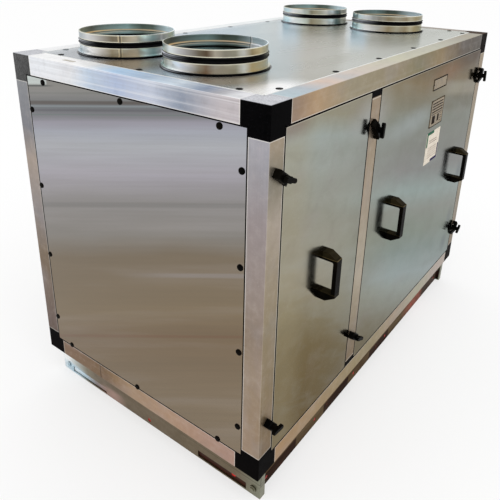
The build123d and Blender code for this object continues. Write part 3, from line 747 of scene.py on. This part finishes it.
def frame_finishes():
    """The profiles' finishes. Those seen from the left front have tones of their own, which are painted
    reflections, with their top and left faces painted lighter or darker.
    """
    left_face = ("X", CASE_LEFT, 1)
    top_face = ("Z", CASE_TOP, -1)
    # Tone tables along each run, painted reflections; those of the top and left faces paint them lighter or
    # darker.
    upright_front = (
        (0.18, 130, 106, 73), (0.34, 142, 123, 93), (0.46, 141, 124, 90), (0.78, 171, 159, 144),
        (0.86, 139, 132, 116), (0.95, 160, 145, 122),
    )
    upright_left = (
        (0.18, 157, 134, 109), (0.42, 156, 138, 118), (0.50, 144, 127, 110), (0.58, 152, 138, 129),
        (0.78, 155, 145, 145), (0.95, 165, 165, 172),
    )
    back_left = (
        (0.18, 86, 66, 52), (0.45, 129, 112, 93), (0.56, 144, 137, 136), (0.74, 170, 156, 145),
        (0.82, 129, 129, 135), (0.95, 142, 144, 148),
    )
    white_side = (
        (-0.29, 200, 191, 193), (-0.16, 139, 151, 169), (-0.08, 198, 205, 221), (0.03, 178, 192, 219),
        (0.12, 197, 212, 230), (0.20, 238, 240, 243), (0.34, 238, 241, 246),
    )
    white_top = (
        (-0.30, 244, 245, 250), (-0.26, 180, 180, 189), (-0.21, 139, 158, 186), (-0.13, 220, 235, 248),
        (-0.05, 167, 188, 213), (0.05, 186, 221, 254), (0.14, 254, 254, 254), (0.34, 254, 254, 254),
    )
    long_front = (
        (-0.60, 156, 132, 110), (-0.53, 179, 150, 116), (-0.38, 157, 146, 121), (-0.10, 149, 136, 107),
        (0.05, 129, 121, 87), (0.20, 145, 123, 84), (0.40, 93, 79, 61), (0.55, 76, 67, 56),
    )
    long_top = (
        (-0.60, 189, 208, 216), (-0.53, 189, 199, 207), (-0.45, 230, 206, 189), (-0.39, 208, 205, 202),
        (-0.33, 219, 206, 196), (-0.10, 212, 209, 185), (0.25, 194, 192, 174), (0.55, 172, 164, 142),
    )
    low_front = (
        (-0.60, 177, 143, 103), (-0.10, 155, 141, 103), (0.10, 174, 152, 128), (0.30, 176, 173, 149),
        (0.50, 187, 174, 163),
    )
    low_left = (
        (-0.30, 176, 144, 129), (-0.08, 180, 148, 121), (0.06, 167, 137, 101), (0.16, 126, 100, 72),
        (0.34, 133, 106, 84),
    )
    middle = ((0.18, 126, 104, 74), (0.46, 178, 167, 146), (0.90, 157, 138, 114))
    plain = ((-0.6, 150, 138, 122), (0.0, 162, 154, 142), (0.6, 150, 140, 124))
    upright = ((0.15, 130, 111, 85), (0.5, 156, 145, 123), (0.95, 164, 147, 123))
    # Near white tones of the back top rail's top face: a painted haze.
    hazy = ((-0.6, 246, 247, 248), (0.6, 242, 248, 248))
    depthwise = aluminium("aluminium_depthwise", "Y", plain)
    return {
        "post_front_left": aluminium("post_front_left", "Z", upright_front, (*left_face, upright_left)),
        "post_back_left": aluminium("post_back_left", "Z", back_left),
        "mullion": aluminium("mullion", "Z", middle),
        "rail_top_left": aluminium("rail_top_left", "Y", white_side, (*top_face, white_top), 0.5, 0.16),
        "rail_top_front": aluminium("rail_top_front", "X", long_front, (*top_face, long_top)),
        "rail_top_back": aluminium("rail_top_back", "X", plain, (*top_face, hazy), 0.5),
        "rail_bottom_front": aluminium("rail_bottom_front", "X", low_front),
        "rail_bottom_left": aluminium("rail_bottom_left", "Y", low_left),
        "rail_top_right": depthwise,
        "rail_bottom_right": depthwise,
        "rail": aluminium("aluminium_lengthwise", "X", plain),
        "post": aluminium("aluminium_upright", "Z", upright),
    }


def dress_frame():
    """Give every CAD node the finish that stands under the longest beginning of its name."""
    plastic, corner, dark, base = black_plastic(), corner_plastic(), dark_steel(), base_steel()
    finishes = {
        "door": door_sheet(), "panel": side_sheet(), "panel_top": roof_sheet(), "panel_left": left_sheet(),
        "spigot": seal_rubber(), "corner": corner, "mullion_caps": corner, "handle": plastic,
        "clamp": plastic, "base": base, "base_front": dark, "base_back": dark,
    }
    finishes.update(frame_finishes())
    finishes.update({name: zinc_spigot(name, *look) for name, look in zip(SPIGOTS, spigot_looks())})
    for name, node in nodes.items():
        longest = max((start for start in finishes if name.startswith(start)), key=len)
        node.data.materials.clear()
        node.data.materials.append(finishes[longest])
    return {"plastic": plastic, "rubber": black_rubber(), "base": base}


def grid_faces(rows, columns, wrap):
    """Quads between the neighbouring points of a grid; with wrap the last column joins the first."""
    row, column = np.meshgrid(
        np.arange(rows - 1), np.arange(columns if wrap else columns - 1), indexing="ij"
    )
    beside = (column + 1) % columns
    quads = (row * columns + column, row * columns + beside,
             (row + 1) * columns + beside, (row + 1) * columns + column)
    return np.stack(quads, axis=-1).reshape(-1, 4)


def repeated(points, faces, places):
    """One shape at several places: every copy is the points plus a place."""
    places = np.asarray(places, float)
    count = len(points)
    all_points = (points[None, :, :] + places[:, None, :]).reshape(-1, 3)
    all_faces = (faces[None, :, :] + np.arange(len(places))[:, None, None] * count).reshape(-1, 4)
    return all_points, all_faces


def gathered(shapes):
    """Several shapes, each of them points and faces, as one."""
    starts = np.cumsum([0] + [len(points) for points, _ in shapes[:-1]])
    points = np.concatenate([points for points, _ in shapes])
    faces = np.concatenate([faces + start for (_, faces), start in zip(shapes, starts)])
    return points, faces


def piece(name, points, faces, finish, slot, body="root", crease=35):
    """A mesh piece from arrays on one CAD body, with its doubled points merged and its faces outward."""
    mesh = bpy.data.meshes.new(name)
    mesh.from_pydata(points.tolist(), [], faces.tolist())
    shape = bmesh.new()
    shape.from_mesh(mesh)
    bmesh.ops.remove_doubles(shape, verts=shape.verts, dist=1e-7)
    bmesh.ops.recalc_face_normals(shape, faces=shape.faces)
    shape.to_mesh(mesh)
    shape.free()
    mesh.polygons.foreach_set("use_smooth", np.ones(len(mesh.polygons), bool))
    mesh.set_sharp_from_angle(angle=radians(crease))
    mesh.materials.append(finish)
    thing = bpy.data.objects.new(name, mesh)
    bpy.context.scene.collection.objects.link(thing)
    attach(thing, body)


def turned(profile, outward, turns=24):
    """A turned shape: each profile point, a radius and a height, swept round an axis that points
    outward. At angle t a point is radius times cos t and sin t across the axis, plus its height
    along it."""
    outward = Vector(outward)
    first = outward.orthogonal().normalized()
    second = outward.cross(first)
    radius, height = np.asarray(profile, float).T
    angle = np.linspace(0, 2 * pi, turns, endpoint=False)
    ring = np.cos(angle)[:, None] * np.array(first) + np.sin(angle)[:, None] * np.array(second)
    points = radius[:, None, None] * ring[None] + height[:, None, None] * np.array(outward)
    return points.reshape(-1, 3), grid_faces(len(radius), turns, True)


def bar(low, high):
    """A box between two corners: its points take each corner's x, y and z in every combination."""
    x, y, z = np.meshgrid(*zip(low, high), indexing="ij")
    points = np.stack([x, y, z], axis=-1).reshape(-1, 3).astype(float)
    faces = [(0, 1, 3, 2), (4, 6, 7, 5), (0, 4, 5, 1), (2, 3, 7, 6), (0, 2, 6, 4), (1, 5, 7, 3)]
    return points, np.array(faces)


def rounded_outline(width, height, corner, turns=5):
    """A rectangle's outline with round corners. Round each corner, at angle t, a point is the
    corner's centre plus its radius times cos t and sin t."""
    angle = np.concatenate([np.linspace(q * pi / 2, (q + 1) * pi / 2, turns) for q in range(4)])
    quarter = np.repeat(np.array([(1, 1), (-1, 1), (-1, -1), (1, -1)]), turns, axis=0)
    centre = quarter * (width / 2 - corner, height / 2 - corner)
    return centre + corner * np.stack([np.cos(angle), np.sin(angle)], axis=-1)


def tile(low, high, thickness, corner, origin, run, up, bevel=0.0002):
    """A thin plate with round corners between two corners of a plane. A plane's point is its origin
    plus the two distances times its run and up directions, and the plate rises along run x up."""
    (left, bottom), (right, top) = low, high
    width, height = right - left, top - bottom
    full = rounded_outline(width, height, corner)
    less = rounded_outline(width - 2 * bevel, height - 2 * bevel, corner - bevel)
    rows = [(full * 0, 0), (full, 0), (full, thickness - bevel), (less, thickness), (less * 0, thickness)]
    flat = np.concatenate([outline for outline, _ in rows]) + ((left + right) / 2, (bottom + top) / 2)
    rise = np.repeat([level for _, level in rows], len(full))
    run, up = np.array(run, float), np.array(up, float)
    outward = np.cross(run, up)
    points = np.array(origin) + flat[:, :1] * run + flat[:, 1:] * up + rise[:, None] * outward
    return points, grid_faces(len(rows), len(full), True)


def screw_caps_at(name, places, outward, rise, finish):
    """Screw caps of one height at several places, each with a short wall, a rounded shoulder and a
    shallow crown. At angle t a point of the shoulder lies its width times cos t out from its start
    and its height times sin t up from the wall."""
    wall, shoulder = rise * 0.35, rise * 0.45
    start, width = CAP_RADIUS - CAP_SHOULDER, CAP_SHOULDER
    rim = [(0.0, -0.0005), (CAP_RADIUS, -0.0005), (CAP_RADIUS, wall)]
    crown = [(start + width * cos(t), wall + shoulder * sin(t)) for t in np.linspace(0, pi / 2, 5)]
    cap = turned(rim + crown + [(0.0, rise)], outward, 24)
    piece("screw_caps_" + name, *repeated(*cap, places), finish, "black_plastic")


def screw_caps(finish):
    """Rows of screw caps near the edges of the fixed panels. Those at the back of the roof are faded."""
    heights = [CASE_BOTTOM + up for up in (0.134, 0.350, 0.567, 0.783)]
    depths = [CASE_FRONT + back for back in (0.120, 0.408, 0.696)]
    runs = [CASE_LEFT + right for right in (0.118, 0.352, 0.587, 0.826, 1.060, 1.283)]
    ends = (CASE_LEFT + CAP_INSET, CASE_RIGHT - CAP_INSET)
    for name, x, way in (("left", CASE_LEFT, -1), ("right", CASE_RIGHT, 1)):
        places = [(x, CASE_FRONT + 0.0635, z) for z in heights]
        places += [(x, CASE_BACK - 0.058, z) for z in heights]
        places += [(x, y + 0.005, CASE_BOTTOM + 0.0555) for y in depths]
        places += [(x, y, CASE_TOP - CAP_INSET) for y in depths]
        screw_caps_at(name, places, (way, 0, 0), SIDE_CAP_RISE, finish)
    places = [(x, CASE_FRONT + CAP_INSET, CASE_TOP) for x in runs]
    places += [(x, y, CASE_TOP) for x in ends for y in depths]
    screw_caps_at("roof", places, (0, 0, 1), ROOF_CAP_RISE, finish)
    faded = plate_finish("faded_plastic", (116, 122, 126), (92, 98, 102), 0.5)
    places = [(x, CASE_BACK - CAP_INSET, CASE_TOP) for x in runs]
    screw_caps_at("roof_back", places, (0, 0, 1), ROOF_CAP_RISE, faded)
    places = [(x, CASE_BACK, z) for x in runs for z in (CASE_BOTTOM + CAP_INSET, CASE_TOP - CAP_INSET)]
    places += [(x, CASE_BACK, z) for x in ends for z in heights]
    screw_caps_at("back", places, (0, 1, 0), SIDE_CAP_RISE, finish)


def ring_in_gap(low, high, gap, axis, outer, inward, lip):
    """Four bars round a panel that fill its gap, with a thin lip on the panel's edge."""
    rise = 0.0002
    first, second = [other for other in range(3) if other != axis]
    depth = sorted((outer - inward * rise, outer + inward * 0.0050))
    bars = []
    for side, other in ((first, second), (second, first)):
        for edge, way in ((low[side], -1), (high[side], 1)):
            start, end = [0.0] * 3, [0.0] * 3
            start[axis], end[axis] = depth
            start[side], end[side] = sorted((edge - way * lip, edge + way * gap))
            start[other], end[other] = low[other] - gap, high[other] + gap
            bars.append(bar(start, end))
    return gathered(bars)


def gap_seals(finish):
    """Seal strips in the gaps round the panels and the doors: dark ones, which are seals that also stand in
    for the shade in the gaps, but for the pale roof seal, which is a painted highlight along the roof's
    edges.
    """
    # The pale roof seal is a painted highlight along the roof's edges.
    pale = plate_finish("roof_gap_highlight", (226, 228, 226), (206, 208, 206), 0.5)
    for name, axis, outer, inward, gap, lip in (
        ("panel_left", 0, CASE_LEFT, 1, PANEL_GAP, 0.0011),
        ("panel_right", 0, CASE_RIGHT, -1, PANEL_GAP, 0.0011),
        ("panel_back", 1, CASE_BACK, -1, PANEL_GAP, 0.0011),
        ("panel_top", 2, CASE_TOP, -1, PANEL_GAP, 0.0009),
        ("panel_bottom", 2, CASE_BOTTOM, 1, PANEL_GAP, 0.0009),
        ("door_left", 1, CASE_FRONT, 1, DOOR_GAP, 0.0016),
        ("door_right", 1, CASE_FRONT, 1, DOOR_GAP, 0.0016),
    ):
        # The dark seals, lapping over each panel's edge, also paint the shade in the gaps.
        ring = ring_in_gap(*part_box(name), gap, axis, outer, inward, lip)
        piece("gap_seal_" + name, *ring, pale if name == "panel_top" else finish, "black_rubber")


def on_front(left, right, low, high, lift, thickness, corner=0.0008):
    """A thin plate on the front, measured from the casing's lower left corner, above a lift."""
    origin = (CASE_LEFT, CASE_FRONT - lift, CASE_BOTTOM)
    return tile((left, low), (right, high), thickness, corner, origin, (1, 0, 0), (0, 0, 1))


def outlined(left, right, low, high, width):
    """Four thin strips along a plate's edges."""
    strips = (
        (left, right, low, low + width), (left, right, high - width, high),
        (left, left + width, low, high), (right - width, right, low, high),
    )
    return gathered([on_front(*strip, PLATE_LIFT, MARK_LIFT, 0.0003) for strip in strips])


def rows_on_front(left, right, levels, height, lift, thickness, corner=0.0006):
    """Plain rows, one at each level, in place of lettering."""
    return [on_front(left, right, z, z + height, lift, thickness, corner) for z in levels]


def plates():
    """The blank name and rating plates on the right door, with their borders, plain rows and rivets."""
    metal = plate_finish("plate_blank", (138, 122, 96), (116, 101, 78), 0.35)
    dark = plate_finish("plate_dark", (34, 22, 14), (16, 10, 6), 0.5, 0.02)
    plate = on_front(0.867, 0.985, 0.797, 0.834, 0, PLATE_LIFT, 0.002)
    piece("name_plate", *plate, metal, "galvanised_sheet")
    piece("name_plate_border", *outlined(0.8672, 0.9848, 0.7972, 0.8338, 0.0038), dark, "black_plastic")
    plate = on_front(0.875, 0.988, 0.677, 0.765, 0, PLATE_LIFT, 0.002)
    piece("rating_plate", *plate, metal, "galvanised_sheet")
    on_plate = (PLATE_LIFT, MARK_LIFT)
    marks = [outlined(0.8752, 0.9878, 0.6772, 0.7648, 0.0028)]
    marks += rows_on_front(0.886, 0.978, (0.751, 0.742, 0.733, 0.724), 0.0036, *on_plate)
    marks += rows_on_front(0.886, 0.978, (0.717,), 0.0020, *on_plate)
    marks += [on_front(0.892, 0.918, 0.687, 0.713, *on_plate, 0.001)]
    marks += [on_front(0.938, 0.952, 0.690, 0.713, *on_plate, 0.001)]
    marks += rows_on_front(0.958, 0.978, (0.687, 0.695, 0.703, 0.711), 0.0016, *on_plate)
    piece("rating_plate_marks", *gathered(marks), dark, "black_plastic")
    head = [(0.0, 0.0), (0.0022, 0.0), (0.0020, 0.0006), (0.0012, 0.0010), (0.0, 0.0011)]
    corners = [(x, z) for x in (0.8785, 0.9845) for z in (0.6805, 0.7615)]
    corners += [(x, 0.8155) for x in (0.8715, 0.9805)]
    spots = [(CASE_LEFT + x, CASE_FRONT - PLATE_LIFT, CASE_BOTTOM + z) for x, z in corners]
    piece("plate_rivets", *repeated(*turned(head, (0, -1, 0), 16), spots), dark, "galvanised_sheet")


def label():
    """The blank paper label below the plates, with a green and a blue edge and plain rows."""
    paper = plate_finish("label_paper", (222, 212, 196), (208, 197, 180), 0.5)
    green = plate_finish("label_green", (30, 100, 72), (24, 84, 60), 0.45, 0.05)
    blue = plate_finish("label_blue", (42, 34, 80), (32, 28, 62), 0.45, 0.05)
    grey = plate_finish("label_grey", (112, 80, 78), (92, 68, 66), 0.5, 0.05)
    on_label = (LABEL_LIFT, PRINT_LIFT)
    sheet = on_front(0.874, 0.991, 0.553, 0.660, 0, LABEL_LIFT, 0.001)
    piece("blank_label", *sheet, paper, "galvanised_sheet")
    for name, finish, strips in (
        ("green", green, ((0.876, 0.935, 0.6515, 0.6605), (0.876, 0.886, 0.612, 0.6515))),
        ("blue", blue, ((0.930, 0.989, 0.5535, 0.563), (0.9815, 0.989, 0.563, 0.606))),
    ):
        shapes = [on_front(*strip, *on_label) for strip in strips]
        piece("label_" + name + "_edge", *gathered(shapes), finish, "galvanised_sheet")
    rows = rows_on_front(0.902, 0.966, (0.628, 0.621), 0.0020, *on_label, 0.0008)
    rows += rows_on_front(0.896, 0.972, (0.604, 0.596, 0.588, 0.580, 0.572), 0.0014, *on_label)
    piece("label_rows", *gathered(rows), grey, "galvanised_sheet")


def small_marks():
    """A strip of tape on the left top rail and a butt joint in each side's bottom rail."""
    tape = plate_finish("paper_tape", (190, 184, 174), (166, 160, 150), 0.6)
    low, high, roof = (-0.672, 0.203), (-0.661, 0.245), (0, 0, CASE_TOP)
    strip = tile(low, high, 0.0003, 0.001, roof, (1, 0, 0), (0, 1, 0), 0.0001)
    piece("tape_strip", *strip, tape, "galvanised_sheet")
    joint = plate_finish("joint_line", (96, 74, 58), (70, 54, 42), 0.6)
    low, high, seams = (-0.0015, 0.002), (0.0015, 0.048), []
    for x, way in ((CASE_LEFT, -1), (CASE_RIGHT, 1)):
        origin = (x, 0.184, CASE_BOTTOM)
        seams.append(tile(low, high, 0.0002, 0.0003, origin, (0, way, 0), (0, 0, 1), 0.00005))
    piece("rail_joint_lines", *gathered(seams), joint, "aluminium_profile")


def lap_seams():
    """The upright lap of each rolled spigot, with its spot welds. A place on a spigot is its axis plus
    a radius at an angle."""
    for name, degrees in zip(SPIGOTS, (219.4, 354.6, 350.0, 352.0)):
        centre = middle_of(name)
        angle = radians(degrees)
        outward = Vector((cos(angle), sin(angle), 0))
        run = Vector((-sin(angle), cos(angle), 0))
        spot = turned([(0.0, 0.0), (0.0016, 0.0), (0.0012, 0.0003), (0.0, 0.0004)], outward, 12)
        origin = np.array((centre.x, centre.y, 0)) + np.array(outward) * (SPIGOT_RADIUS - 0.0001)
        shapes, spots = [], []
        for bottom, top in ((BAND_LOW + 0.001, GROOVE_LOW - 0.001), (GROOVE_HIGH + 0.001, RIM_TOP - 0.0002)):
            shapes.append(tile((-0.0045, bottom), (0.0045, top), LAP_LIFT, 0.0004, origin, run, (0, 0, 1)))
            for share in (0.25, 0.75):
                height = np.array((0, 0, bottom + share * (top - bottom)))
                spots.append(origin + np.array(outward) * LAP_LIFT + height)
        shapes.append(repeated(*spot, spots))
        finish = nodes[name].data.materials[0]
        piece(name.replace("spigot", "lap_seam"), *gathered(shapes), finish, "zinc_spigot")


def base_bolts(finish):
    """A hexagon bolt on a washer at both ends of each side member."""
    washer = [(0.0, -0.001), (0.0095, -0.001), (0.0095, 0.0012), (0.0085, 0.0016), (0.0, 0.0016)]
    head = [(0.0, 0.0016), (0.0072, 0.0016), (0.0072, 0.0044), (0.0060, 0.0052), (0.0, 0.0052)]
    for name, way in (("left", -1), ("right", 1)):
        low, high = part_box("base_" + name)
        depths = (low.y + BOLT_INSET, high.y - BOLT_INSET)
        places = [(way * (CASE_RIGHT - BOLT_FACE), y, BOLT_LEVEL) for y in depths]
        shapes = [repeated(*turned(washer, (way, 0, 0), 24), places)]
        shapes.append(repeated(*turned(head, (way, 0, 0), 6), places))
        piece("base_bolts_" + name, *gathered(shapes), finish, "base_steel", crease=25)


def hole_plugs():
    """Dull red plugs in the round holes of the base, a little below its faces."""
    red = plate_finish("plug_red", (200, 44, 30), (150, 26, 18), 0.5)
    profile = [(0.0, -0.004), (0.0058, -0.004), (0.0058, -0.0012), (0.0046, -0.0006), (0.0, -0.0006)]
    front_low, front_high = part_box("base_front")
    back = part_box("base_back")[1].y
    runs = np.linspace(PLUG_INSET - front_high.x, front_high.x - PLUG_INSET, 6)
    rows = []
    for way in (-1, 1):
        rows.append(((way, 0, 0), [(way * (CASE_RIGHT - PLUG_FACE), CASE_MIDDLE, SIDE_PLUG_LEVEL)]))
    for way, y in ((-1, front_low.y), (1, back)):
        rows.append(((0, way, 0), [(x, y, CROSS_PLUG_LEVEL) for x in runs]))
    shapes = [repeated(*turned(profile, outward, 20), places) for outward, places in rows]
    piece("hole_plugs", *gathered(shapes), red, "base_steel")


def slot_backing():
    """A backing strip inside each side member, seen through its slots, that paints what shows there: dark
    red-brown as painted shade, and pale at the back left as painted light."""
    f = Finish("backing_strip", (60, 26, 10), 0.0, 0.6, 0.2)
    patch = f.cloud((30, 30, 60), 4, 0.6)
    # Dark red-brown: painted shade seen through the slots.
    f.tone = f.ramp(patch, (0.35, 44, 18, 6), (0.65, 64, 28, 12))
    spot = f.glow((CASE_LEFT + 0.045, CASE_FRONT + 0.101, 0.017), (0.03, 0.012, 0.008))
    f.lay(f.span(spot, 0.2, 0.5), (220, 30, 26))
    y = f.along("Y")
    # Pale painted light at the back left.
    pale_painted_light = ((0.20, 170, 140, 126), (0.26, 150, 142, 142), (0.32, 200, 222, 234), (0.37, 236, 246, 252))
    back_left = f.times(f.span(y, 0.10, 0.15), f.span(f.along("X"), 0.0, -0.1))
    f.lay(back_left, f.tones(y, *pale_painted_light))
    finish = f.wear(patch, 0.5, 0.65, f.bump(patch, 0.0002))
    outer, reach = CASE_RIGHT - BACKING_FACE, CASE_BACK - CASE_MIDDLE - BACKING_INSET
    low, high = BACKING_LEVELS
    shapes = []
    for way in (-1, 1):
        near, far = sorted((way * outer, way * outer - way * 0.001))
        shapes.append(bar((near, CASE_MIDDLE - reach, low), (far, CASE_MIDDLE + reach, high)))
    piece("slot_backing", *gathered(shapes), finish, "base_steel")


def floor():
    """A pale matt floor that runs out of sight. The camera and reflections see it whiter than it is,
    and its shadow stays."""
    f = Finish("floor_matt", (FLOOR_GREY, FLOOR_GREY, FLOOR_GREY), 0.0, 0.9, 0.0)
    white = f.node("Emission", "Emission", {"Color": (1, 1, 1, 1)})
    path = f.nodes.new("ShaderNodeLightPath").outputs
    seen = f.times(f.most(path["Is Camera Ray"], path["Is Glossy Ray"]), 0.6)
    blend = f.node("MixShader", "Shader", {0: seen, 1: f.shader.outputs["BSDF"], 2: white})
    f.links.new(blend, f.nodes["Material Output"].inputs["Surface"])
    corners = [(x * FLOOR_REACH, y * FLOOR_REACH, 0) for x, y in ((-1, -1), (1, -1), (1, 1), (-1, 1))]
    mesh = bpy.data.meshes.new("floor")
    mesh.from_pydata(corners, [], [(0, 1, 2, 3)])
    mesh.materials.append(f.material)
    ground = bpy.data.objects.new("floor", mesh)
    bpy.context.scene.collection.objects.link(ground)


def sky():
    """Plain white light from all round."""
    world = bpy.data.worlds.new("studio")
    world.use_nodes = True
    background = world.node_tree.nodes["Background"].inputs
    background["Color"].default_value = (1.0, 1.0, 1.0, 1)
    background["Strength"].default_value = 1.0
    bpy.context.scene.world = world


def soft_box(name, place, aim, size, power):
    """A large soft square lamp at a place, turned to face its aim."""
    lamp = bpy.data.lights.new(name, "AREA")
    lamp.size = size
    lamp.energy = power
    thing = bpy.data.objects.new(name, lamp)
    thing.location = place
    thing.rotation_mode = "QUATERNION"
    thing.rotation_quaternion = (Vector(aim) - Vector(place)).to_track_quat("-Z", "Y")
    bpy.context.scene.collection.objects.link(thing)


def camera():
    """The photograph's view: from the left front corner, above the roof, with a slight roll."""
    azimuth, elevation, roll = radians(-53.59), radians(21.52), radians(1.25)
    forward = Vector((-sin(azimuth) * cos(elevation), cos(azimuth) * cos(elevation), -sin(elevation)))
    right = Vector((cos(azimuth), sin(azimuth), 0))
    up = right.cross(forward)
    right, up = right * cos(roll) + up * sin(roll), up * cos(roll) - right * sin(roll)
    lens = bpy.data.cameras.new("camera")
    lens.sensor_width = 36.0
    lens.lens = 40.31
    lens.shift_x, lens.shift_y = 0.00246, -0.1537
    lens.clip_start, lens.clip_end = 0.05, 200.0
    stand = bpy.data.objects.new("camera", lens)
    turn = Matrix((right, up, -forward)).transposed().to_4x4()
    stand.matrix_world = Matrix.Translation(CAMERA_PLACE) @ turn
    bpy.context.scene.collection.objects.link(stand)
    bpy.context.scene.camera = stand


finishes = dress_frame()
screw_caps(finishes["plastic"])
gap_seals(finishes["rubber"])
plates()
label()
small_marks()
lap_seams()
base_bolts(finishes["base"])
hole_plugs()
slot_backing()
floor()
sky()
soft_box("lamp_over", (-1.2, -1.5, 3.6), (0, 0, 0.6), 2.6, 25)
camera()
bpy.context.scene.view_settings.view_transform = "Standard"
